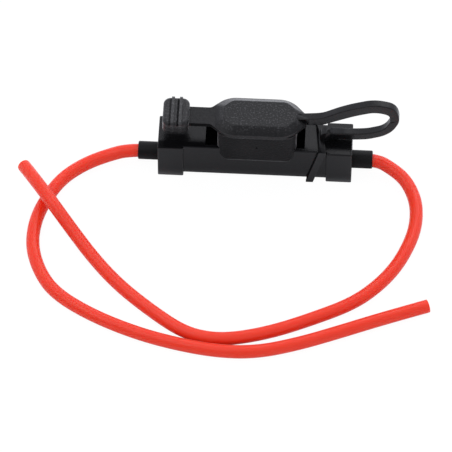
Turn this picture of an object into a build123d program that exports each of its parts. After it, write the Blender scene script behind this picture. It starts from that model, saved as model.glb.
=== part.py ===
"""Inline holder for one regular blade fuse, with a tethered pull-off cap and two wire leads.

The holder stands upright on its two end blocks, and its leads lie on the surface in front of it.
+X runs along the holder towards the tether's loop, +Y points to its back and +Z points up.
The origin is on the surface, under the middle of the holder's box with its leads left out.
Lengths are in millimetres.
"""
from build123d import *
import math
import os

# Housing
housing_length = 60.5
block_length = 8.0
block_depth = 12.6
deck_height = 14.2
body_depth = 11.0
body_lift = 0.9
block_corner = 0.4
body_corner = 0.3

# Fuse chamber, the neck round it and the moat between the neck and the walls
pocket_length = 19.6
pocket_depth = 6.2
pocket_corner = 0.6
neck_wall = 0.6
neck_rise = 5.0
neck_corner = 1.4
moat_length = 31.0
moat_depth = 7.2
side_wall = 1.2

# Cap
skirt_length = 24.6
skirt_middle = 0.6
skirt_wall = 1.0
skirt_clearance = 0.12
skirt_corner = 3.0
skirt_drop = 4.3
lap_corner = 4.2
flange_proud = 0.7
lip_proud = 0.15
lip_thickness = 0.4
flange_thickness = 1.6
flange_rise = 9.4
flange_left = 9.0
flange_right = 10.6
flange_left_round = 8.0
flange_right_round = 8.0
strap_round = 2.0
head_rise = 11.4
head_left = 9.8
head_right = 12.2
head_depth = 9.7
head_end_width = 5.0
head_taper = 2.7
head_round = 3.0
foot_left = 12.6
foot_right = 15.3
foot_round = 2.0
foot_ledge = 0.08
head_edge = 0.5
flange_edge = 0.2
lap_edge = 0.25
wall_edge = 0.2
roof_thickness = 2.2
cavity_corner = 3.5
strap_reach = 13.9
strap_width = 6.3
tip_reach = 16.0
tip_width = 2.9
dimple_radius = 0.5
dimple_depth = 0.3
dimple_rise = 2.4

# Thumb grip at the end of the cap's strap
grip_length = 8.2
grip_depth = 10.7
grip_thickness = 4.9
grip_proud = 1.9
grip_end = 28.8
grip_corner = 2.2
grip_round = 1.1
rib_width = 0.9
rib_height = 0.35
rib_places = (3.0, 5.5)

# Tether: a strap in a loop, and the twisted ring round the housing
tether_width = 2.5
tether_thickness = 3.0
tether_edge = 0.35
tether_gap = 1.4
root_sink = 1.5
root_length = 3.0
gusset_length = 2.6
gusset_inset = 0.3
foot_step = 0.05
gusset_round = 2.2
ring_width = 2.2
ring_thickness = 1.0
ring_clearance = 0.1
ring_top_back = 19.6
ring_top_front = 21.1
ring_low_front = 17.8
ring_low_back = 18.9

# Wires, their sleeves and where they enter the housing
wire_diameter = 4.15
core_diameter = 2.4
core_clearance = 0.05
wire_height = 4.2
bore_clearance = 0.1
sleeve_diameter = 5.7
sleeve_showing = 6.4
sleeve_inside = 2.4
sleeve_clearance = 0.06
sleeve_chamfer = 0.25

# Blade fuse
fuse_length = 19.1
fuse_thickness = 5.1
fuse_height = 18.5
blade_floor_gap = 2.1
fuse_head_height = 3.4
fuse_waist_length = 16.4
fuse_waist_thickness = 3.8
fuse_corner = 0.8
blade_width = 5.2
blade_thickness = 0.65
blade_span = 14.8
blade_showing = 7.3
blade_chamfer = 0.8
link_height = 2.4
link_depth = 0.6
element_clearance = 0.05
roof_gap = 0.3

# Folded receptacles, one for each blade
receptacle_top_gap = 1.9
receptacle_wall = 0.6
receptacle_side_gap = 0.25
receptacle_seat = 0.1
receptacle_round = 0.5
tab_overlap = 0.5
blade_grip = 0.08
barrel_wall = 0.4
barrel_length = 5.6
barrel_start = 0.9
barrel_clearance = 0.05
strip_gap = 0.8

# Values worked out from the sizes above
half_length = housing_length / 2
sleeve_end = half_length + sleeve_showing
flange_top = deck_height + flange_rise
flange_low = flange_top - flange_thickness
head_top = deck_height + head_rise
neck_top = deck_height + neck_rise
rim_height = deck_height - skirt_drop
lap_depth = body_depth + 2 * skirt_clearance
skirt_depth = lap_depth + 2 * skirt_wall
flange_half_depth = skirt_depth / 2 + flange_proud
neck_length = pocket_length + 2 * neck_wall
neck_depth = pocket_depth + 2 * neck_wall
cavity_length = skirt_length - 2 * skirt_wall
cavity_roof = head_top - roof_thickness
grip_top = flange_top + grip_proud
grip_low = grip_top - grip_thickness
fuse_top = cavity_roof - roof_gap
blade_tip = fuse_top - fuse_height
fuse_body_low = blade_tip + blade_showing
pocket_floor = blade_tip - blade_floor_gap
blade_centre = (blade_span - blade_width) / 2
receptacle_half_width = blade_width / 2 + receptacle_side_gap
barrel_near = blade_centre + receptacle_half_width + barrel_start
barrel_far = barrel_near + barrel_length

# The tether's loop, from the cap's tip round and back over the right end block
strap_low = deck_height + tether_gap + tether_thickness / 2
strap_root = flange_top + tether_thickness / 2 - root_sink
loop_points = (
    (tip_reach - root_length, strap_root),
    (20.2, strap_root + 0.8),
    (28.4, strap_root + 6.1),
    (36.8, strap_root + 9.3),
    (42.8, strap_root + 7.8),
    (43.9, strap_root + 1.8),
    (41.4, strap_low + 1.9),
    (32.0, strap_low + 0.0),
    (23.4, strap_low),
)


def rounded_block(length, depth, low, high, corner):
    """A block with rounded upright edges, centred in X and Y."""
    outline = RectangleRounded(length, depth, corner)
    return Pos(0, 0, low) * extrude(outline, high - low)


def upright_box(x0, x1, half_depth, low, high):
    """A plain box between two places along X, centred in Y."""
    return Pos((x0 + x1) / 2, 0, (low + high) / 2) * Box(x1 - x0, 2 * half_depth, high - low)


def lengthwise_cylinder(radius, x0, x1, height):
    """A cylinder along X at a height."""
    return Pos((x0 + x1) / 2, 0, height) * Rot(0, 90, 0) * Cylinder(radius, x1 - x0)


def make_housing():
    """The long box on two proud end blocks, with the fuse chamber, its neck and the wire bores."""
    body = upright_box(-half_length + 1, half_length - 1, body_depth / 2, body_lift, deck_height)
    body = chamfer(body.edges().filter_by(Axis.X), body_corner)
    for side in (-1, 1):
        middle = side * (half_length - block_length / 2)
        block = Pos(middle, 0, deck_height / 2) * Box(block_length, block_depth, deck_height)
        body += fillet(block.edges(), block_corner)
    moat_floor = deck_height - moat_depth
    moat_half_depth = body_depth / 2 - side_wall
    body -= upright_box(-moat_length / 2, moat_length / 2, moat_half_depth, moat_floor, deck_height + 1)
    rim = [e for e in body.edges().filter_by(Axis.X) if abs(e.center().Z - deck_height) < 0.01]
    body = fillet([e for e in rim if abs(e.center().Y) < moat_half_depth + 0.01], wall_edge)
    body += rounded_block(neck_length, neck_depth, moat_floor - 1, neck_top, neck_corner)
    body -= rounded_block(pocket_length, pocket_depth, pocket_floor, neck_top + 1, pocket_corner)
    bore = wire_diameter / 2 + bore_clearance
    socket = sleeve_diameter / 2 + sleeve_clearance
    for side in (-1, 1):
        ends = sorted((side * (half_length + 1), side * (pocket_length / 2 - 1)))
        body -= lengthwise_cylinder(bore, ends[0], ends[1], wire_height)
        ends = sorted((side * (half_length + 1), side * (half_length - sleeve_inside)))
        body -= lengthwise_cylinder(socket, ends[0], ends[1], wire_height)
    return body


def round_corners(outline, place, radius):
    """Round the corners of a plan view that lie at one place along X."""
    return fillet([v for v in outline.vertices() if abs(v.X - place) < 0.001], radius)


def flange_outline():
    """The cap's flange: round shoulders that taper to the strap at one end and to a tip at the other."""
    front = [
        (-strap_reach - 1, -strap_width / 2),
        (-strap_reach, -strap_width / 2),
        (-flange_left, -flange_half_depth),
        (flange_right, -flange_half_depth),
        (tip_reach, -tip_width / 2),
    ]
    back = [(x, -y) for x, y in reversed(front)]
    outline = make_face(Polyline(*front, *back, close=True))
    outline = round_corners(outline, -flange_left, flange_left_round)
    outline = round_corners(outline, flange_right, flange_right_round)
    return round_corners(outline, -strap_reach, strap_round)


def head_outline(ends, end_halves, tapers, half_depth, rounds, end_round):
    """A plan view with straight long sides that taper to two narrower ends, all corners round."""
    front = [
        (ends[0], -end_halves[0]),
        (tapers[0], -half_depth),
        (tapers[1], -half_depth),
        (ends[1], -end_halves[1]),
    ]
    back = [(x, -y) for x, y in reversed(front)]
    outline = make_face(Polyline(*front, *back, close=True))
    for place, radius in zip((*ends, *tapers), (end_round, end_round, *rounds)):
        outline = round_corners(outline, place, radius)
    return outline


def flange_half_at(place):
    """Half the flange's depth at a place along X on one of its tapers."""
    if place < 0:
        share = (place + strap_reach) / (strap_reach - flange_left)
        end_half = strap_width / 2
    else:
        share = (tip_reach - place) / (tip_reach - flange_right)
        end_half = tip_width / 2
    return end_half + share * (flange_half_depth - end_half)


def make_head():
    """The head: from a foot just inside the flange's outline it slopes up to a flat top."""
    foot = head_outline(
        (-foot_left, foot_right),
        (flange_half_at(-foot_left) - foot_ledge, flange_half_at(foot_right) - foot_ledge),
        (-flange_left, flange_right),
        flange_half_depth - foot_ledge,
        (flange_left_round, flange_right_round),
        foot_round,
    )
    top = head_outline(
        (-head_left, head_right),
        (head_end_width / 2, head_end_width / 2),
        (-head_left + head_taper, head_right - head_taper),
        head_depth / 2,
        (head_round, head_round),
        foot_round,
    )
    head = loft([Pos(0, 0, flange_top) * foot, Pos(0, 0, head_top) * top], ruled=True)
    return fillet(head.edges().group_by(Axis.Z)[-1], head_edge)


def make_skirt():
    """The skirt: it ends at the deck at its ends, and laps over the housing's sides with round corners."""
    skirt = rounded_block(skirt_length, skirt_depth, rim_height, flange_low, skirt_corner)
    front_view = Pos(0, (rim_height + head_top) / 2) * Rectangle(
        skirt_length, head_top - rim_height
    )
    low_corners = front_view.vertices().group_by(Axis.Y)[0]
    front_view = fillet(low_corners, lap_corner)
    profile = extrude(Plane.XZ * front_view, skirt_depth, both=True)
    skirt &= profile
    skirt = fillet(skirt.edges().group_by(Axis.Z)[0], lap_edge)
    for side in (-1, 1):
        edge = side * (skirt_length / 2 + 1)
        middle = side * (cavity_length / 2 - cavity_corner)
        ends = sorted((edge, middle))
        end_gap = lap_depth / 2
        skirt -= upright_box(ends[0], ends[1], end_gap, rim_height - 1, deck_height + skirt_clearance)
    return Pos(skirt_middle, 0, 0) * skirt


def make_cap():
    """The cap: a skirt, a flange, a bevelled head, a pull strap and a ribbed thumb grip."""
    outline = flange_outline()
    flange = Pos(0, 0, flange_low) * extrude(outline, flange_thickness)
    flange = fillet(flange.edges().group_by(Axis.Z)[0], flange_edge)
    cap = make_skirt() + flange
    cap += Pos(skirt_middle, 0, 0) * rounded_block(
        skirt_length + 2 * lip_proud,
        skirt_depth + 2 * lip_proud,
        flange_low,
        flange_low + lip_thickness,
        skirt_corner + lip_proud,
    )
    cap += make_head()
    cap += upright_box(
        -grip_end + grip_length - 1, -strap_reach, strap_width / 2, flange_low, flange_top
    )
    cap += make_grip()
    cap -= Pos(skirt_middle, 0, 0) * rounded_block(
        cavity_length, lap_depth, rim_height - 1, cavity_roof, cavity_corner
    )
    dimple_out = -skirt_depth / 2 + dimple_depth - dimple_radius
    cap -= Pos(skirt_middle, dimple_out, deck_height + dimple_rise) * Sphere(dimple_radius)
    return cap


def grip_block(swell):
    """The grip's rounded block, made larger by a swell at its front, back and top."""
    block = rounded_block(
        grip_length, grip_depth + 2 * swell, grip_low, grip_top + swell, grip_corner
    )
    return fillet(block.edges().group_by(Axis.Z)[-1], grip_round)


def make_grip():
    """The thumb grip: a thick rounded block with ribs that run over it from front to back."""
    middle = -grip_end + grip_length / 2
    block = Pos(middle, 0, 0) * grip_block(0)
    ribs = Pos(middle, 0, 0) * grip_block(rib_height)
    for place in rib_places:
        x0 = -grip_end + place - rib_width / 2
        block += ribs & upright_box(x0, x0 + rib_width, grip_depth, grip_low + grip_round, grip_top + 1)
    return block


def slanted_slab(plane, near, far, x_near, x_far, thickness):
    """A slab whose middle line goes from one place along X to another, from near to far across."""
    half = ring_width / 2
    outline = Polyline(
        (x_near - half, near), (x_near + half, near), (x_far + half, far), (x_far - half, far), close=True
    )
    return extrude(plane * make_face(outline), thickness)


def make_ring():
    """The ring that holds the tether: four flat sides round the housing, a little twisted."""
    side = body_depth / 2 + ring_clearance
    top = deck_height + ring_clearance
    low = body_lift - ring_clearance
    reach = side + ring_thickness
    corners = (ring_top_front, ring_top_back, ring_low_back, ring_low_front)
    top_plane = Plane.XY.offset(top)
    low_plane = Plane.XY.offset(low - ring_thickness)
    ring = slanted_slab(top_plane, -reach, reach, corners[0], corners[1], ring_thickness)
    ring += slanted_slab(low_plane, -reach, reach, corners[3], corners[2], ring_thickness)
    high, deep = top + ring_thickness, low - ring_thickness
    front_plane = Plane(origin=(0, -reach, 0), x_dir=(1, 0, 0), z_dir=(0, -1, 0))
    back_plane = Plane(origin=(0, side, 0), x_dir=(1, 0, 0), z_dir=(0, -1, 0))
    ring += slanted_slab(front_plane, deep, high, corners[3], corners[0], -ring_thickness)
    ring += slanted_slab(back_plane, deep, high, corners[2], corners[1], -ring_thickness)
    return ring


def make_tether(cap):
    """The tether: a loop of square strap from the cap's tip to the twisted ring."""
    route = [(x, 0, z) for x, z in loop_points]
    path = FilletPolyline(*route, radius=corner_radii(route))
    section_plane = Plane(origin=path @ 0, x_dir=(0, 1, 0), z_dir=path % 0)
    section = section_plane * RectangleRounded(tether_width, tether_thickness, tether_edge)
    strap = sweep(section, path=path)
    strap -= cap
    strap = strap.solids().sort_by(Axis.X)[-1]
    end = loop_points[-1][0]
    start = (ring_top_back + ring_top_front) / 2 - gusset_inset
    crest = strap_low + tether_thickness / 2 - foot_step
    base = strap_low - tether_thickness / 2 + gusset_inset
    foot_low = deck_height + ring_clearance
    side_view = Polyline(
        (start, foot_low),
        (end + gusset_inset, foot_low),
        (end + gusset_length, base),
        (end + gusset_inset, crest),
        (start, crest),
        close=True,
    )
    foot = extrude(Plane.XZ * make_face(side_view), tether_width / 2, both=True)
    crests = foot.edges().filter_by(Axis.Y).group_by(Axis.Z)[-1]
    foot = fillet(crests.sort_by(Axis.X)[0], gusset_round)
    return strap + make_ring() + foot


def corner_radii(points):
    """The arc at each corner of a route, as large as its two runs allow."""
    radii = []
    for before, corner, after in zip(points, points[1:], points[2:]):
        first = Vector(corner) - Vector(before)
        second = Vector(after) - Vector(corner)
        turn = math.radians(first.get_angle(second))
        run = min(first.length, second.length)
        radii.append(0.45 * run / math.tan(turn / 2))
    return radii


# The leads' routes, from just inside the sleeve to the free end
left_route = (
    (-31.0, 0.0, 4.2),
    (-39.2, 0.0, 4.2),
    (-46.6, -1.2, 3.2),
    (-53.9, -4.7, 2.2),
    (-60.5, -10.5, 2.1),
    (-65.0, -18.6, 2.1),
    (-67.9, -27.5, 2.1),
    (-68.3, -37.2, 2.1),
    (-65.4, -46.8, 2.1),
    (-59.2, -56.6, 2.1),
    (-48.2, -64.2, 2.1),
    (-34.7, -70.2, 2.1),
    (-21.8, -73.7, 2.1),
    (-8.0, -75.3, 2.1),
    (4.1, -74.3, 2.1),
    (17.0, -70.4, 2.1),
    (30.2, -65.0, 2.1),
    (43.4, -59.2, 2.1),
    (56.7, -53.9, 2.1),
)
right_route = (
    (31.0, 0.0, 4.2),
    (37.9, 0.0, 4.2),
    (43.2, -1.9, 3.5),
    (47.5, -5.5, 2.7),
    (50.3, -10.4, 2.1),
    (51.7, -15.8, 2.1),
    (51.8, -22.6, 2.1),
    (50.4, -29.5, 2.1),
    (47.5, -38.4, 2.1),
    (42.2, -46.3, 2.1),
    (33.5, -54.2, 2.1),
    (20.7, -60.8, 2.1),
    (8.1, -66.5, 2.1),
    (-4.4, -69.8, 2.1),
    (-13.0, -69.6, 2.1),
    (-20.6, -66.9, 2.1),
    (-31.0, -59.0, 2.1),
    (-40.1, -51.0, 2.1),
    (-48.3, -41.6, 2.1),
    (-55.4, -32.0, 4.6),
    (-62.0, -23.2, 10.4),
    (-67.4, -14.9, 10.4),
    (-72.0, -7.6, 7.0),
)


def make_wire(route):
    """One wire on its route: its insulation and the core inside it."""
    radii = corner_radii(route)
    path = FilletPolyline(*route, radius=radii)
    print("radii", [round(r, 1) for r in radii], "length", round(path.length, 1))
    start_plane = Plane(origin=path @ 0, x_dir=(0, 1, 0), z_dir=path % 0)
    bore = core_diameter / 2 + core_clearance
    ring = start_plane * (Circle(wire_diameter / 2) - Circle(bore))
    insulation = sweep(ring, path=path)
    core = sweep(start_plane * Circle(core_diameter / 2), path=path)
    area = math.pi * (wire_diameter ** 2 / 4 - bore ** 2)
    print("volume", round(insulation.volume, 1), "section x length", round(area * path.length, 1))
    entry = route[0][0]
    side = math.copysign(1, entry)
    ends = sorted((side * (barrel_far + strip_gap), entry))
    straight = lengthwise_cylinder(wire_diameter / 2, ends[0], ends[1], wire_height)
    insulation += straight - lengthwise_cylinder(bore, ends[0] - 1, ends[1] + 1, wire_height)
    ends = sorted((side * (barrel_near + strip_gap), entry))
    core += lengthwise_cylinder(core_diameter / 2, ends[0], ends[1], wire_height)
    return insulation, core


def make_sleeve(side):
    """A short round sleeve that the wire leaves the housing through."""
    ends = sorted((side * sleeve_end, side * (half_length - sleeve_inside + 0.05)))
    sleeve = lengthwise_cylinder(sleeve_diameter / 2, ends[0], ends[1], wire_height)
    outer_edge = sleeve.edges().filter_by(GeomType.CIRCLE).sort_by(Axis.X)[-1 if side > 0 else 0]
    sleeve = chamfer(outer_edge, sleeve_chamfer)
    bore = wire_diameter / 2 + sleeve_clearance
    return sleeve - lengthwise_cylinder(bore, ends[0] - 1, ends[1] + 1, wire_height)


def make_terminal(side):
    """A folded receptacle that grips one blade, with a crimp barrel on the wire's core."""
    centre = side * blade_centre
    inner = blade_thickness / 2 + blade_grip
    outer = inner + receptacle_wall
    low = pocket_floor + receptacle_seat
    high = fuse_body_low - receptacle_top_gap
    half_width = receptacle_half_width
    folded = Pos(centre, 0, (low + high) / 2) * Box(
        2 * half_width, 2 * outer, high - low
    )
    folded = fillet(folded.edges().filter_by(Axis.X).group_by(Axis.Z)[0], receptacle_round)
    slot = Pos(centre, 0, (low + receptacle_wall + high + 1) / 2) * Box(
        2 * half_width + 1, 2 * inner, high + 1 - low - receptacle_wall
    )
    folded -= slot
    barrel_inner = core_diameter / 2 + barrel_clearance
    barrel_outer = barrel_inner + barrel_wall
    edge = centre + side * half_width
    start = side * barrel_near
    ends = sorted((start, side * barrel_far))
    barrel = lengthwise_cylinder(barrel_outer, ends[0], ends[1], wire_height)
    barrel -= lengthwise_cylinder(barrel_inner, ends[0] - 1, ends[1] + 1, wire_height)
    tab_ends = sorted((edge - side * tab_overlap, start + side * tab_overlap))
    tab_low = wire_height - barrel_outer
    tab = upright_box(tab_ends[0], tab_ends[1], outer, tab_low, tab_low + barrel_wall)
    return folded + tab + barrel


def make_fuse():
    """A regular blade fuse: its moulded body, and the element with both blades and the link."""
    head_low = fuse_top - fuse_head_height
    head = rounded_block(fuse_length, fuse_thickness, head_low, fuse_top, fuse_corner)
    waist = rounded_block(
        fuse_waist_length, fuse_waist_thickness, fuse_body_low, head_low, fuse_corner
    )
    body = head + waist
    element_top = head_low - link_depth
    room = element_clearance
    for side in (-1, 1):
        middle = side * blade_centre
        body -= upright_box(
            middle - blade_width / 2 - room,
            middle + blade_width / 2 + room,
            blade_thickness / 2 + room,
            fuse_body_low - 1,
            element_top + room,
        )
    link_low = element_top - link_height
    body -= upright_box(
        -blade_centre, blade_centre, blade_thickness / 2 + room, link_low - room, element_top + room
    )
    element = upright_box(-blade_centre, blade_centre, blade_thickness / 2, link_low, element_top)
    for side in (-1, 1):
        blade = Pos(side * blade_centre, 0, (blade_tip + element_top) / 2) * Box(
            blade_width, blade_thickness, element_top - blade_tip
        )
        blade = chamfer(blade.edges().filter_by(Axis.Y).group_by(Axis.Z)[0], blade_chamfer)
        element += blade
    return body, element


def save(shape, name):
    """Write one piece with the holder's box centred on the origin."""
    export_step(Pos(-origin_x, 0, 0) * shape, "parts/" + name + ".step")


os.makedirs("parts", exist_ok=True)
cap = make_cap()
tether = make_tether(cap)
origin_x = (tether.bounding_box().max.X - sleeve_end) / 2
print("origin x", round(origin_x, 4))
save(tether, "tether")
save(make_housing(), "housing")
save(cap, "cap")
fuse_body, fuse_element = make_fuse()
save(fuse_body, "fuse_body")
save(fuse_element, "fuse_element")
for side, name, route in ((-1, "left", left_route), (1, "right", right_route)):
    lead, conductor = make_wire(route)
    save(lead, "lead_" + name)
    save(conductor, "conductor_" + name)
    save(make_sleeve(side), "wire_sleeve_" + name)
    save(make_terminal(side), "terminal_" + name)
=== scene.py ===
"""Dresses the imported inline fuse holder: its mouldings, tether, sleeves, leads and fuse."""
import math

import bpy
from mathutils import Matrix, Vector


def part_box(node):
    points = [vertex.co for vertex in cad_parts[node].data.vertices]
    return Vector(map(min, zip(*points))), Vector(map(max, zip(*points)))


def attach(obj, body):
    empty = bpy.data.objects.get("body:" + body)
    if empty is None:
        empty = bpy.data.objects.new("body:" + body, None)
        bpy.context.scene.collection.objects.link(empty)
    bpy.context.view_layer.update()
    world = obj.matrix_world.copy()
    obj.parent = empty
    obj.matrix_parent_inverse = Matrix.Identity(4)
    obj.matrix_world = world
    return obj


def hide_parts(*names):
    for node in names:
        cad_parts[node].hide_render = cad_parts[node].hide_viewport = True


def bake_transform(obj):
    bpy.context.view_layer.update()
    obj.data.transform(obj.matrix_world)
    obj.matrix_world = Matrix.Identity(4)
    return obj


bl_info = {
    "name": "Inline fuse holder",
    "version": (1, 0, 0),
    "blender": (4, 5, 0),
    "location": "View3D > Sidebar > Fuse Holder",
    "description": "Builds the looks of an inline fuse holder round its packed frame",
    "category": "Add Mesh",
}

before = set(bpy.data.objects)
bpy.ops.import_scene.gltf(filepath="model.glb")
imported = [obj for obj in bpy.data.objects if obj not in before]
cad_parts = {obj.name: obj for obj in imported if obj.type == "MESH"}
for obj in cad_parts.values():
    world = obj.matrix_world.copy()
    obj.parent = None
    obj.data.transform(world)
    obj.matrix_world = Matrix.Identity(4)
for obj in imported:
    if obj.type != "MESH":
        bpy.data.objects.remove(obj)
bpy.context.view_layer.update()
MM = 0.001

# Places taken from the frame, in metres
HOUSING_LOW, HOUSING_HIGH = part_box("housing")
HOUSING_MIDDLE = (HOUSING_LOW.x + HOUSING_HIGH.x) / 2
CAP_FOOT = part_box("cap")[0].z

# The leads' routes in millimetres from under the housing's middle, close to the solids' own
LEFT_ROUTE = (
    (-31.0, 0.0, 4.2), (-39.2, 0.0, 4.2), (-46.1, -1.8, 3.2), (-53.3, -4.9, 2.2),
    (-59.9, -10.7, 2.1), (-64.3, -18.7, 2.1), (-67.2, -27.5, 2.1), (-67.6, -37.1, 2.1),
    (-64.7, -46.5, 2.1), (-59.4, -54.6, 2.1), (-48.3, -62.0, 2.1), (-34.6, -68.0, 2.1),
    (-21.7, -71.7, 2.1), (-8.0, -74.0, 2.1), (4.0, -73.7, 2.1), (16.7, -69.9, 2.1),
    (29.7, -64.5, 2.1), (42.8, -58.8, 2.1), (55.9, -53.6, 2.1),
)
RIGHT_ROUTE = (
    (31.0, 0.0, 4.2), (37.9, 0.0, 4.2), (42.6, -2.5, 3.5), (46.8, -5.7, 2.7),
    (49.6, -10.6, 2.1), (51.0, -15.9, 2.1), (51.1, -22.6, 2.1), (49.7, -29.4, 2.1),
    (46.2, -38.2, 2.1), (41.0, -46.0, 2.1), (33.0, -53.8, 2.1), (20.4, -60.4, 2.1),
    (7.9, -66.0, 2.1), (-4.4, -69.3, 2.1), (-12.9, -69.1, 2.1), (-20.4, -66.4, 2.1),
    (-30.7, -58.6, 2.1), (-39.7, -50.7, 2.1), (-47.6, -41.6, 2.1), (-55.2, -32.2, 4.2),
    (-62.0, -24.2, 7.6), (-67.5, -16.2, 7.6), (-71.9, -8.9, 5.4),
)
LEFT_LENGTH = 202.0 * MM
RIGHT_LENGTH = 207.0 * MM

# The copper at the cut ends: rings of strands round a middle one, as (ring, strands in it)
STRAND_RINGS = ((1, 6), (2, 12))
STRANDS_ACROSS = 5.2
STRAND_LENGTH = 1.6 * MM
STRAND_SET_BACK = 0.72 * MM

# How far a plastic's roughness strays each way with its mottle
ROUGHNESS_SPREAD = 0.07

# Bands of shine on the mouldings, painted highlights and painted shade among them, each a ramp of
# (place, share of the shine).
# Up the cap from its foot: a painted highlight on its lower rim, the skirt with less shine, a
# painted highlight along the seam, the head
CAP_RISE = 20 * MM
SEAM = 0.604
CAP_PAINTED_HIGHLIGHT_BANDS = (
    (0.0, 0.9), (0.012, 0.8), (0.03, 0.09),
    (SEAM - 0.012, 0.09), (SEAM - 0.004, 0.4), (SEAM + 0.018, 0.235),
)
# Along the thumb grip's top: a painted shade line to the left of each of its two ribs, and painted
# highlights on the ribs.
# The last value holds for the head too, which lies to the right at the same level
GRIP_SPAN = (-29, -19)
GRIP_LEVEL = 24.5 * MM
RIB_PAINTED_LIGHT_BANDS = (
    (0.0, 1.6), (0.2, 1.6), (0.225, 0.45), (0.265, 0.45), (0.29, 2.3), (0.35, 2.3), (0.37, 1.4),
    (0.45, 1.5), (0.47, 0.1), (0.515, 0.1), (0.535, 2.4), (0.6, 2.4), (0.62, 1.3), (0.68, 1.5),
    (0.9, 1.2),
)
# Along the pull strap's side: painted shade between the grip and the head
STRAP_SPAN = (-29, -4)
STRAP_LEVEL = 23.45 * MM
STRAP_PAINTED_SHADE_BANDS = ((0.0, 0.5), (0.32, 0.5), (0.36, 0.05), (0.68, 0.05), (0.78, 0.6), (1.0, 1.0))
# Up the housing from the floor: a painted reflection of the floor that lightens its lowest edges
FLOOR_RISE = 10 * MM
FLOOR_PAINTED_REFLECTION_BANDS = ((0.0, 1.1), (0.1, 1.0), (0.16, 0.55), (0.25, 0.3), (0.38, 0.225), (1.0, 0.225))
# The front of the left deck gets painted shade, where the cap's strap shades it: from this level
# up, left of this place
DECK_LEVEL = 14.1 * MM
DECK_END = -8
DECK_FRONT = (-3.7 * MM, -3.0 * MM)
DECK_PAINTED_SHADE = 0.1
# The head's rear bevels get a painted highlight, by how far a face looks to the back
REAR_FACING = (0.15, 0.45)
REAR_PAINTED_HIGHLIGHT = 3.2
# Specks of grain show on the head only, from this share of the cap's rise
SPECK_SPAN = (0.69, 0.79)
SPECK_COLOUR = (0.045, 0.045, 0.047, 1)

# The tether's sizes: plain numbers are millimetres from under the housing's middle, and those
# with MM are metres. Its two runs part at a plane through this place that rises to the right
SPLIT_PLACE = (18, 0, 20.2)
SPLIT_SLOPE = 0.2
HALF_SIZE = 100 * MM
WELD_GAP = 0.002 * MM
# The strap's underside is thicker where it leaves the cap's tip, below a line that starts at
# the first height and climbs by the second
ROOT_SPAN = (15.0, 23.0)
ROOT_LOWEST = 21.5
ROOT_LINE = (23.4, 3.0)
ROOT_DROP = 0.45
# The upper run hangs a little, and its underside is fuller, below its middle line of (x, z)
UPPER_LINE = ((15.0, 23.6), (20.2, 24.4), (28.4, 29.7), (36.8, 32.9), (42.8, 31.4), (46.0, 25.4))
UPPER_LOWEST = 23
SAG = 0.45
SAG_SPANS = ((17.0, 22.0), (40.0, 44.0))
FULLER = 0.8
FULLER_SPAN = (19.0, 29.0)
UNDERSIDE_GAP = 0.3
# The loop's far end is drawn up and in, and the ring's lower part is slanted more
LOOP_LIFT = 1.4 * MM
LIFT_SPAN = (34.0 * MM, 43.0 * MM)
LIFT_FADE = (20.0 * MM, 29.0 * MM)
LOOP_DRAW = 0.5 * MM
DRAW_SPAN = (38.0 * MM, 46.0 * MM)
RING_REACH = 26 * MM
RING_TOP = 14 * MM
RING_SLANT = 0.6 * MM

# The stage, in metres: the floor, and each lamp's place, size and power
FLOOR_SIZE = 4.0
FLOOR_DROP = 0.00002
FLOOR_GREY = 0.92
FLOOR_GLOW = 1.03
FLOOR_GLOW_SHARE = 0.93
LAMPS = (
    ("key", (-0.5, -0.2, 1.1), 0.9, 3.0),
    ("back", (0.35, 0.75, 0.8), 0.8, 2.5),
    ("fill", (0.6, -0.9, 0.5), 0.9, 1.0),
)
WORLD_COLOUR = (0.97, 0.98, 1.07, 1)
WORLD_SPAN = (-0.7, 0.6)
PICTURE_MIDDLE = (-7.9, -24.95, 0)


class HolderFinish(bpy.types.PropertyGroup):
    """Colours of the holder's mouldings, and how much its head is specked."""

    moulding_colour: bpy.props.FloatVectorProperty(
        name="Moulding", description="Colour of the hard black mouldings", subtype="COLOR",
        size=4, min=0, max=1, default=(0.0022, 0.0022, 0.0026, 1),
    )
    tether_colour: bpy.props.FloatVectorProperty(
        name="Tether", description="Colour of the soft black strap", subtype="COLOR",
        size=4, min=0, max=1, default=(0.0020, 0.0020, 0.0024, 1),
    )
    sleeve_colour: bpy.props.FloatVectorProperty(
        name="Sleeves", description="Colour of the wire sleeves", subtype="COLOR",
        size=4, min=0, max=1, default=(0.0016, 0.0016, 0.0017, 1),
    )
    speck_share: bpy.props.FloatProperty(
        name="Speck share", description="How much of the grained head its bright specks cover",
        min=0, max=1, default=0.22,
    )


class LeadSizes(bpy.types.PropertyGroup):
    """Sizes and colour of the two leads."""

    diameter: bpy.props.FloatProperty(
        name="Diameter", description="Outer diameter of the insulation",
        subtype="DISTANCE", unit="LENGTH", default=4.15 * MM,
    )
    core_diameter: bpy.props.FloatProperty(
        name="Core", description="Diameter of the bundle of copper strands",
        subtype="DISTANCE", unit="LENGTH", default=2.4 * MM,
    )
    insulation_colour: bpy.props.FloatVectorProperty(
        name="Insulation", description="Colour of the leads' insulation", subtype="COLOR",
        size=4, min=0, max=1, default=(0.79, 0.043, 0.0125, 1),
    )


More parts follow.
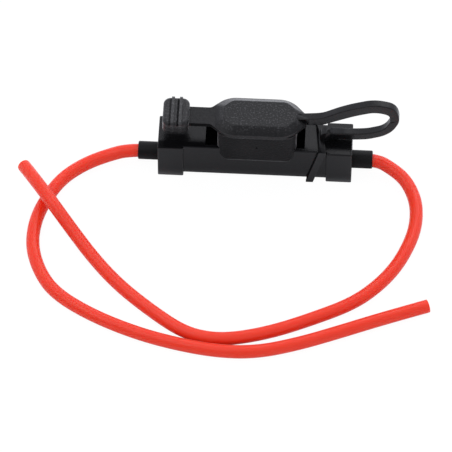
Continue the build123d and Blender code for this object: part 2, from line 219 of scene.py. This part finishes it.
class StageSettings(bpy.types.PropertyGroup):
    """Where the camera stands and how bright the surroundings are."""

    elevation: bpy.props.FloatProperty(
        name="Elevation", description="Angle of the camera above the surface",
        subtype="ANGLE", default=math.radians(54.0),
    )
    azimuth: bpy.props.FloatProperty(
        name="Azimuth", description="Angle of the camera round the holder",
        subtype="ANGLE", default=math.radians(3.0),
    )
    distance: bpy.props.FloatProperty(
        name="Distance", description="Distance from the camera to the surface",
        subtype="DISTANCE", unit="LENGTH", default=2.0,
    )
    width: bpy.props.FloatProperty(
        name="View width", description="Width of what the camera sees at that distance",
        subtype="DISTANCE", unit="LENGTH", default=140.6 * MM,
    )
    front_light: bpy.props.FloatProperty(
        name="Front light", description="Brightness of the surroundings on the camera's side",
        default=0.55,
    )
    back_light: bpy.props.FloatProperty(
        name="Back light", description="Brightness of the surroundings behind the holder",
        default=1.1,
    )


def point(x, y, z):
    """A place in metres from millimetres measured from under the housing's middle."""
    return Vector((HOUSING_MIDDLE + x * MM, y * MM, z * MM))


def activate(obj):
    """Deselect everything, then make one object selected and active."""
    bpy.ops.object.select_all(action="DESELECT")
    obj.select_set(True)
    bpy.context.view_layer.objects.active = obj


def context_object():
    """The object that the last operator made."""
    return bpy.context.view_layer.objects.active


def place_in_scene(name, data):
    """A new object with the given data, linked to the scene."""
    obj = bpy.data.objects.new(name, data)
    bpy.context.scene.collection.objects.link(obj)
    return obj


def join(parts, name):
    """Join objects into one with its place in its mesh."""
    activate(parts[0])
    for part in parts:
        part.select_set(True)
    bpy.ops.object.join()
    made = context_object()
    made.name = name
    made.data.name = name
    return made


def give(obj, material):
    """Let one material cover the whole object."""
    obj.data.materials.clear()
    obj.data.materials.append(material)


def smooth_step(low, high, value):
    """Nothing at the low value, one at the high value, and smooth between them."""
    share = min(max((value - low) / (high - low), 0.0), 1.0)
    return share * share * (3 - 2 * share)


def height_on_line(line, x):
    """The height at x of a broken line through places given as (x, height)."""
    for (x0, z0), (x1, z1) in zip(line, line[1:]):
        if x < x1:
            break
    return z0 + (z1 - z0) * (x - x0) / (x1 - x0)


def set_inputs(tree, node, values):
    """Link each of a node's named inputs to a socket, or set it to a constant."""
    for name, value in values.items():
        if isinstance(value, bpy.types.NodeSocket):
            tree.links.new(value, node.inputs[name])
        else:
            node.inputs[name].default_value = value


def add_node(tree, kind, inputs=None, **settings):
    """A new node with its settings made and its inputs filled."""
    node = tree.nodes.new(kind)
    for setting, value in settings.items():
        setattr(node, setting, value)
    set_inputs(tree, node, inputs or {})
    return node


def map_range(tree, value, low, high, to_low=0.0, to_high=1.0):
    """Spread a value from one range over another, held at both ends."""
    node = add_node(tree, "ShaderNodeMapRange", {
        "Value": value, "From Min": low, "From Max": high, "To Min": to_low, "To Max": to_high,
    })
    return node.outputs["Result"]


def calculate(tree, operation, *values):
    """The result of a sum on sockets and numbers."""
    node = add_node(tree, "ShaderNodeMath", dict(enumerate(values)), operation=operation)
    return node.outputs[0]


def mix_values(tree, share, first, second):
    """The first value where the share is nothing, and the second where it is one."""
    node = add_node(tree, "ShaderNodeMix", {"Factor": share, "A": first, "B": second})
    return node.outputs["Result"]


def mix_colours(tree, share, first, second, name):
    """The first colour where the share is nothing, and the second where it is one."""
    node = add_node(
        tree, "ShaderNodeMix", {"Factor": share, "A": first, "B": second},
        data_type="RGBA", name=name,
    )
    return node.outputs["Result"]


def split_axes(tree, vector):
    """The X, Y and Z of a vector."""
    return add_node(tree, "ShaderNodeSeparateXYZ", {"Vector": vector}).outputs


def grey_ramp(tree, name, value, stops):
    """A ramp of greys with a value at each of its stops."""
    ramp = add_node(tree, "ShaderNodeValToRGB", {"Fac": value}, name=name)
    elements = ramp.color_ramp.elements
    while len(elements) < len(stops):
        elements.new(0.5)
    for element, (place, grey) in zip(elements, stops):
        element.position = place
        element.color = (grey, grey, grey, 1)
    return ramp.outputs["Color"]


def moulded_grain_group():
    """Fine moulded grain: a height for bump, a mottle for colour and roughness, and specks."""
    known = bpy.data.node_groups.get("moulded_grain")
    if known:
        return known
    tree = bpy.data.node_groups.new("moulded_grain", "ShaderNodeTree")
    tree.interface.new_socket(name="Vector", in_out="INPUT", socket_type="NodeSocketVector")
    for name, default in (("Grain size", 3000.0), ("Blotch size", 120.0), ("Speck share", 0.0)):
        socket = tree.interface.new_socket(
            name=name, in_out="INPUT", socket_type="NodeSocketFloat"
        )
        socket.default_value = default
    for name in ("Height", "Mottle", "Specks"):
        tree.interface.new_socket(name=name, in_out="OUTPUT", socket_type="NodeSocketFloat")
    entry = add_node(tree, "NodeGroupInput").outputs
    grain = add_node(tree, "ShaderNodeTexNoise", {
        "Vector": entry["Vector"], "Scale": entry["Grain size"], "Detail": 3.0, "Roughness": 0.62,
    }).outputs["Fac"]
    blotch = add_node(tree, "ShaderNodeTexNoise", {
        "Vector": entry["Vector"], "Scale": entry["Blotch size"], "Detail": 4.0,
    }).outputs["Fac"]
    # More specks pass as their share lowers the height that the grain has to reach
    limit = calculate(tree, "MULTIPLY_ADD", entry["Speck share"], -0.62, 0.7)
    over = calculate(tree, "SUBTRACT", grain, limit)
    add_node(tree, "NodeGroupOutput", {
        "Height": grain,
        "Mottle": mix_values(tree, 0.45, grain, blotch),
        "Specks": map_range(tree, over, 0.0, 0.06),
    })
    return tree


def plastic_material(name, colour, light_colour, roughness, bump, grain, contrast=0.5, shine=0.5):
    """A moulded plastic or rubber: two close tones by its mottle, and bump from its grain."""
    material = bpy.data.materials.new(name)
    material.use_nodes = True
    tree = material.node_tree
    place = add_node(tree, "ShaderNodeTexCoord", name="place")
    group = add_node(
        tree, "ShaderNodeGroup", {"Vector": place.outputs["Object"], "Grain size": grain},
        node_tree=moulded_grain_group(), name="grain",
    ).outputs
    tone = map_range(tree, group["Mottle"], 0.5 - contrast / 2, 0.5 + contrast / 2)
    rough = map_range(
        tree, group["Mottle"], 0.0, 1.0,
        roughness - ROUGHNESS_SPREAD, roughness + ROUGHNESS_SPREAD,
    )
    relief = add_node(tree, "ShaderNodeBump", {
        "Strength": 1.0, "Distance": bump, "Height": group["Height"],
    })
    set_inputs(tree, tree.nodes["Principled BSDF"], {
        "Base Color": mix_colours(tree, tone, colour, light_colour, "tone"),
        "Roughness": rough,
        "Specular IOR Level": shine,
        "Normal": relief.outputs["Normal"],
    })
    return material


def lighter(colour, share):
    """The same colour, moved a share of the way to white."""
    return tuple(c + (1 - c) * share for c in colour[:3]) + (1.0,)


def metal_material(name, colour, roughness):
    """A plain stamped metal with fine drawn marks."""
    material = plastic_material(
        name, colour, lighter(colour, 0.12), roughness, bump=0.004 * MM, grain=2500.0
    )
    material.node_tree.nodes["Principled BSDF"].inputs["Metallic"].default_value = 1.0
    return material


def route_curve(name, route, radius):
    """A round cord on one smooth spline with the route's points."""
    data = bpy.data.curves.new(name, "CURVE")
    data.dimensions = "3D"
    data.resolution_u = 12
    data.bevel_depth = radius
    data.bevel_resolution = 8
    data.use_fill_caps = True
    spline = data.splines.new("NURBS")
    spline.points.add(len(route) - 1)
    for control, place in zip(spline.points, route):
        control.co = (*point(*place), 1.0)
    spline.order_u = 3
    spline.use_endpoint_u = True
    return place_in_scene(name, data)


class HOLDER_OT_leads(bpy.types.Operator):
    """Lay the two red leads along their routes, with the copper at their cut ends"""

    bl_idname = "holder.leads"
    bl_label = "Leads"

    def execute(self, context):
        sizes = context.scene.lead_sizes
        red = self.red_insulation(tuple(sizes.insulation_colour))
        copper = metal_material("copper_strands", (0.78, 0.36, 0.2, 1), 0.35)
        leads = (("left", LEFT_ROUTE, LEFT_LENGTH), ("right", RIGHT_ROUTE, RIGHT_LENGTH))
        for side, route, length in leads:
            lead = route_curve("red_lead_" + side, route, sizes.diameter / 2)
            give(lead, red)
            core = self.cut_strands(side, route, sizes.core_diameter)
            give(core, copper)
            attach(lead, "holder")
            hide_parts("lead_" + side)
            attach(core, "holder")
            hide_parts("conductor_" + side)
        return {"FINISHED"}

    def red_insulation(self, colour):
        """The leads' soft plastic, which lets light in below its surface."""
        material = plastic_material(
            "red_insulation", colour, lighter(colour, 0.006),
            roughness=0.31, bump=0.004 * MM, grain=700.0, contrast=0.5, shine=0.3,
        )
        tree = material.node_tree
        set_inputs(tree, tree.nodes["Principled BSDF"], {
            "Subsurface Weight": 0.8,
            "Subsurface Radius": (1.0, 0.2, 0.12),
            "Subsurface Scale": 3.0 * MM,
            "Sheen Weight": 0.35,
            "Sheen Roughness": 0.25,
        })
        return material

    def cut_strands(self, side, route, core_diameter):
        """A bundle of strands, flush with the lead's cut end."""
        end, before = point(*route[-1]), point(*route[-2])
        along = (end - before).normalized()
        strand = core_diameter / STRANDS_ACROSS
        spots = [(0.0, 0.0)]
        for ring, count in STRAND_RINGS:
            for k in range(count):
                angle = math.tau * k / count
                spots.append((ring * strand * math.cos(angle), ring * strand * math.sin(angle)))
        turn = along.to_track_quat("Z", "Y").to_matrix().to_4x4()
        seat = Matrix.Translation(end - along * STRAND_SET_BACK) @ turn
        parts = []
        for across, over in spots:
            bpy.ops.mesh.primitive_cylinder_add(
                vertices=12, radius=strand / 2, depth=STRAND_LENGTH
            )
            part = context_object()
            part.data.transform(seat @ Matrix.Translation((across, over, 0)))
            parts.append(part)
        return join(parts, "copper_strands_" + side)


class HOLDER_OT_mouldings(bpy.types.Operator):
    """Give the housing, the cap and the wire sleeves their finish"""

    bl_idname = "holder.mouldings"
    bl_label = "Mouldings"

    def execute(self, context):
        finish = context.scene.holder_finish
        black, dark = tuple(finish.moulding_colour), tuple(finish.sleeve_colour)
        give(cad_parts["housing"], self.housing_moulding(black))
        give(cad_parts["cap"], self.cap_moulding(black, finish.speck_share))
        sleeve = plastic_material(
            "black_sleeve", dark, lighter(dark, 0.003),
            roughness=0.45, bump=0.015 * MM, grain=1500.0, contrast=0.4, shine=0.16,
        )
        for side in ("left", "right"):
            give(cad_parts["wire_sleeve_" + side], sleeve)
        return {"FINISHED"}

    def housing_moulding(self, black):
        """The housing's plastic, with a painted reflection of the pale floor on its lowest edges
        and painted shade on the front of its left deck.
        """
        material = plastic_material(
            "black_moulding", black, lighter(black, 0.004),
            roughness=0.17, bump=0.04 * MM, grain=1900.0, contrast=0.3, shine=0.25,
        )
        tree = material.node_tree
        axes = split_axes(tree, tree.nodes["place"].outputs["Object"])
        rise = map_range(tree, axes["Z"], 0.0, FLOOR_RISE)
        # Painted shade on the front of the left deck, under the cap's strap
        front = map_range(tree, axes["Y"], *DECK_FRONT, DECK_PAINTED_SHADE)
        left = calculate(tree, "LESS_THAN", axes["X"], point(DECK_END, 0, 0).x)
        above = calculate(tree, "GREATER_THAN", axes["Z"], DECK_LEVEL)
        deck = calculate(tree, "MULTIPLY", above, left)
        # A painted reflection of the pale floor, lightest at the housing's lowest edges
        painted_floor_reflection = grey_ramp(tree, "floor_painted_reflection", rise, FLOOR_PAINTED_REFLECTION_BANDS)
        shine = calculate(tree, "MULTIPLY", painted_floor_reflection, mix_values(tree, deck, 1.0, front))
        set_inputs(tree, tree.nodes["Principled BSDF"], {"Specular IOR Level": shine})
        return material

    def cap_moulding(self, black, speck_share):
        """The cap's plastic: a specked head, a smoother skirt, and painted highlights along its
        edges.
        """
        material = plastic_material(
            "grained_moulding", black, lighter(black, 0.006),
            roughness=0.32, bump=0.14 * MM, grain=1800.0, contrast=0.3, shine=0.26,
        )
        tree = material.node_tree
        place, group = tree.nodes["place"].outputs, tree.nodes["grain"]
        group.inputs["Speck share"].default_value = speck_share
        axes = split_axes(tree, place["Object"])
        height = map_range(tree, axes["Z"], CAP_FOOT, CAP_FOOT + CAP_RISE)
        specks = calculate(
            tree, "MULTIPLY", group.outputs["Specks"], map_range(tree, height, *SPECK_SPAN)
        )
        tone = tree.nodes["tone"].outputs["Result"]
        set_inputs(tree, tree.nodes["Principled BSDF"], {
            "Base Color": mix_colours(tree, specks, tone, SPECK_COLOUR, "specks"),
            "Specular IOR Level": self.cap_shine(tree, axes, height, place["Normal"]),
            "Sheen Weight": 0.4,
            "Sheen Roughness": 0.25,
        })
        return material

    def cap_shine(self, tree, axes, height, normal):
        """How much the cap shines, with painted highlights and painted shade: by height, along its
        grip and strap, and on its rear bevels.
        """
        # Painted highlights on the skirt's lower rim and along the seam, by height
        shine = grey_ramp(tree, "cap_painted_highlights", height, CAP_PAINTED_HIGHLIGHT_BANDS)
        # Painted shade lines and painted highlights along the grip's ribs
        ribs = grey_ramp(tree, "rib_painted_shade_and_highlights", self.along(tree, axes, GRIP_SPAN), RIB_PAINTED_LIGHT_BANDS)
        # Painted shade on the strap's side between the grip and the head
        strap = grey_ramp(tree, "strap_side_painted_shade", self.along(tree, axes, STRAP_SPAN), STRAP_PAINTED_SHADE_BANDS)
        grip_top = calculate(tree, "GREATER_THAN", axes["Z"], GRIP_LEVEL)
        strap_top = calculate(tree, "GREATER_THAN", axes["Z"], STRAP_LEVEL)
        top = mix_values(tree, grip_top, 1.0, ribs)
        banded = calculate(tree, "MULTIPLY", shine, mix_values(tree, strap_top, strap, top))
        # A painted highlight on the head's rear bevels, by how far a face looks to the back
        facing = split_axes(tree, normal)["Y"]
        rear = map_range(tree, facing, *REAR_FACING, 1.0, REAR_PAINTED_HIGHLIGHT)
        return calculate(tree, "MULTIPLY", banded, rear)

    def along(self, tree, axes, span):
        """Nothing at the left end of a span in X, one at its right end."""
        low, high = (point(x, 0, 0).x for x in span)
        return map_range(tree, axes["X"], low, high)


class HOLDER_OT_inside(bpy.types.Operator):
    """Give the receptacles and the fuse their finish"""

    bl_idname = "holder.inside"
    bl_label = "Fuse and receptacles"

    def execute(self, context):
        brass = metal_material("stamped_brass", (0.66, 0.5, 0.25, 1), 0.3)
        zinc = metal_material("stamped_zinc", (0.6, 0.6, 0.58, 1), 0.35)
        clear = plastic_material(
            "fuse_plastic", (0.4, 0.012, 0.012, 1), (0.5, 0.02, 0.02, 1),
            roughness=0.15, bump=0.004 * MM, grain=900.0,
        )
        finishes = {
            "terminal_left": brass, "terminal_right": brass,
            "fuse_body": clear, "fuse_element": zinc,
        }
        for node, material in finishes.items():
            give(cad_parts[node], material)
        return {"FINISHED"}


class HOLDER_OT_tether(bpy.types.Operator):
    """Part the soft tether into its upper run and the run with its ring"""

    bl_idname = "holder.tether"
    bl_label = "Tether"

    def execute(self, context):
        colour = tuple(context.scene.holder_finish.tether_colour)
        soft = plastic_material(
            "soft_black", colour, lighter(colour, 0.005),
            roughness=0.3, bump=0.03 * MM, grain=2100.0, contrast=0.3, shine=0.27,
        )
        give(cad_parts["tether"], soft)
        upper = self.tether_run("tether_upper_run", "INTERSECT")
        lower = self.tether_run("tether_ring_run", "DIFFERENCE")
        self.lower_root(upper.data)
        self.sag_upper_run(upper.data)
        for vertex in lower.data.vertices:
            vertex.co.z = max(vertex.co.z, 0.0)
        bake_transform(upper)
        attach(lower, "holder")
        for run in (upper, lower):
            give(run, soft)
            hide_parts("tether")
        return {"FINISHED"}

    def tether_run(self, name, side):
        """The part of the tether on one side of a plane between its two runs."""
        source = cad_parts["tether"]
        run = place_in_scene(name, source.data.copy())
        run.data.name = name
        run.data.transform(source.matrix_world)
        activate(run)
        bpy.ops.object.mode_set(mode="EDIT")
        bpy.ops.mesh.select_all(action="SELECT")
        bpy.ops.mesh.remove_doubles(threshold=WELD_GAP)
        bpy.ops.object.mode_set(mode="OBJECT")
        bpy.ops.mesh.primitive_cube_add(size=HALF_SIZE)
        half = context_object()
        tilt = Matrix.Rotation(-math.atan(SPLIT_SLOPE), 4, "Y")
        lift = Matrix.Translation((0, 0, HALF_SIZE / 2))
        half.data.transform(Matrix.Translation(point(*SPLIT_PLACE)) @ tilt @ lift)
        activate(run)
        cut = run.modifiers.new("half", "BOOLEAN")
        cut.operation = side
        cut.object = half
        cut.solver = "EXACT"
        bpy.ops.object.modifier_apply(modifier="half")
        bpy.data.objects.remove(half)
        self.settle_loop(run.data)
        bpy.ops.object.shade_smooth_by_angle(angle=math.radians(30))
        return run

    def settle_loop(self, mesh):
        """Draw the loop's far end up and in, and slant the ring's lower part a little more."""
        for vertex in mesh.vertices:
            place = vertex.co - point(0, 0, 0)
            far = smooth_step(*LIFT_SPAN, place.x)
            low = 1 - smooth_step(*LIFT_FADE, place.z)
            vertex.co.z += LOOP_LIFT * far * low
            vertex.co.x -= LOOP_DRAW * smooth_step(*DRAW_SPAN, place.x)
            if place.x < RING_REACH and place.z < RING_TOP:
                vertex.co.x -= RING_SLANT * (RING_TOP - place.z) / RING_TOP

    def lower_root(self, mesh):
        """Thicken the strap's underside a little where it leaves the cap's tip."""
        start, end = (point(x, 0, 0).x for x in ROOT_SPAN)
        line, climb = ROOT_LINE
        for vertex in mesh.vertices:
            along = (vertex.co.x - start) / (end - start)
            highest = (line + climb * along ** 2) * MM
            if 0 < along < 1 and ROOT_LOWEST * MM < vertex.co.z < highest:
                vertex.co.z -= ROOT_DROP * MM * math.sin(math.pi * along)

    def sag_upper_run(self, mesh):
        """Let the upper run hang a little lower, and make its underside a little fuller."""
        near, far = SAG_SPANS
        for vertex in mesh.vertices:
            x, z = (vertex.co - point(0, 0, 0)).x / MM, vertex.co.z / MM
            share = smooth_step(*near, x) * (1 - smooth_step(*far, x))
            if share == 0 or z < UPPER_LOWEST:
                continue
            under = z < height_on_line(UPPER_LINE, x) - UNDERSIDE_GAP
            fuller = FULLER * smooth_step(*FULLER_SPAN, x) if under else 0.0
            vertex.co.z -= (SAG + fuller) * MM * share


class HOLDER_OT_stage(bpy.types.Operator):
    """Set the pale floor, the soft lamps and the camera"""

    bl_idname = "holder.stage"
    bl_label = "Stage"

    def execute(self, context):
        settings = context.scene.stage_settings
        bpy.ops.mesh.primitive_plane_add(size=FLOOR_SIZE, location=(0, 0, -FLOOR_DROP))
        floor = context_object()
        floor.name = "floor"
        give(floor, self.floor_material())
        self.light_world(settings)
        for name, place, size, power in LAMPS:
            self.add_lamp(name, place, size, power)
        self.add_camera(settings)
        return {"FINISHED"}

    def floor_material(self):
        """A pale surface that the camera sees as white, and that still takes a soft shadow."""
        material = bpy.data.materials.new("pale_floor")
        material.use_nodes = True
        tree = material.node_tree
        shader = tree.nodes["Principled BSDF"]
        set_inputs(tree, shader, {
            "Base Color": (FLOOR_GREY, FLOOR_GREY, FLOOR_GREY, 1),
            "Roughness": 0.9,
            "Specular IOR Level": 0.0,
        })
        glow = add_node(tree, "ShaderNodeEmission", {
            "Color": (1, 1, 1, 1), "Strength": FLOOR_GLOW,
        })
        camera_ray = add_node(tree, "ShaderNodeLightPath").outputs["Is Camera Ray"]
        mix = add_node(tree, "ShaderNodeMixShader", {
            0: calculate(tree, "MULTIPLY", camera_ray, FLOOR_GLOW_SHARE),
            1: shader.outputs["BSDF"],
            2: glow.outputs["Emission"],
        })
        set_inputs(tree, tree.nodes["Material Output"], {"Surface": mix.outputs["Shader"]})
        return material

    def light_world(self, settings):
        """A plain world that is bright behind the holder and dimmer on the camera's side."""
        world = bpy.data.worlds.new("plain_world")
        world.use_nodes = True
        tree = world.node_tree
        way = split_axes(tree, add_node(tree, "ShaderNodeTexCoord").outputs["Generated"])
        low, high = WORLD_SPAN
        rise = add_node(tree, "ShaderNodeMapRange", {
            "Value": way["Y"], "From Min": low, "From Max": high,
            "To Min": settings.front_light, "To Max": settings.back_light,
        }, interpolation_type="SMOOTHSTEP")
        set_inputs(tree, tree.nodes["Background"], {
            "Color": WORLD_COLOUR, "Strength": rise.outputs["Result"],
        })
        bpy.context.scene.world = world

    def add_lamp(self, name, place, size, power):
        """A square area lamp that faces the holder."""
        data = bpy.data.lights.new(name, "AREA")
        data.size = size
        data.energy = power
        lamp = place_in_scene(name, data)
        lamp.location = place
        lamp.rotation_euler = (-Vector(place)).to_track_quat("-Z", "Y").to_euler()

    def add_camera(self, settings):
        """A long lens at the photograph's angle, aimed at the picture's middle."""
        tilt, swing = settings.elevation, settings.azimuth
        towards = Vector((
            math.sin(swing) * math.cos(tilt), -math.cos(swing) * math.cos(tilt), math.sin(tilt),
        ))
        data = bpy.data.cameras.new("photo_camera")
        data.sensor_width = 36.0
        data.lens = data.sensor_width * settings.distance / settings.width
        data.clip_end = 20.0
        camera = place_in_scene("photo_camera", data)
        camera.location = point(*PICTURE_MIDDLE) + towards * settings.distance
        camera.rotation_euler = (-towards).to_track_quat("-Z", "Y").to_euler()
        bpy.context.scene.camera = camera


class HOLDER_PT_panel(bpy.types.Panel):
    """Lists the holder's steps"""

    bl_idname = "HOLDER_PT_panel"
    bl_label = "Inline fuse holder"
    bl_space_type = "VIEW_3D"
    bl_region_type = "UI"
    bl_category = "Fuse Holder"

    def draw(self, context):
        layout, scene = self.layout, context.scene
        for step in STEPS:
            layout.operator(step.bl_idname)
        for group in (scene.holder_finish, scene.lead_sizes, scene.stage_settings):
            for name in group.__annotations__:
                layout.prop(group, name)


SETTINGS = {
    "holder_finish": HolderFinish,
    "lead_sizes": LeadSizes,
    "stage_settings": StageSettings,
}
STEPS = (
    HOLDER_OT_leads, HOLDER_OT_mouldings, HOLDER_OT_inside, HOLDER_OT_tether, HOLDER_OT_stage,
)


def register():
    """Add the settings, the operators and the panel."""
    for name, group in SETTINGS.items():
        bpy.utils.register_class(group)
        setattr(bpy.types.Scene, name, bpy.props.PointerProperty(type=group))
    for step in (*STEPS, HOLDER_PT_panel):
        bpy.utils.register_class(step)


def unregister():
    """Take away what register added."""
    for step in reversed((*STEPS, HOLDER_PT_panel)):
        bpy.utils.unregister_class(step)
    for name, group in SETTINGS.items():
        delattr(bpy.types.Scene, name)
        bpy.utils.unregister_class(group)


def main():
    """Build every piece in order."""
    register()
    bpy.context.scene.view_settings.view_transform = "Standard"
    bpy.ops.holder.leads()
    bpy.ops.holder.mouldings()
    bpy.ops.holder.inside()
    bpy.ops.holder.tether()
    bpy.ops.holder.stage()


if __name__ == "__main__":
    main()
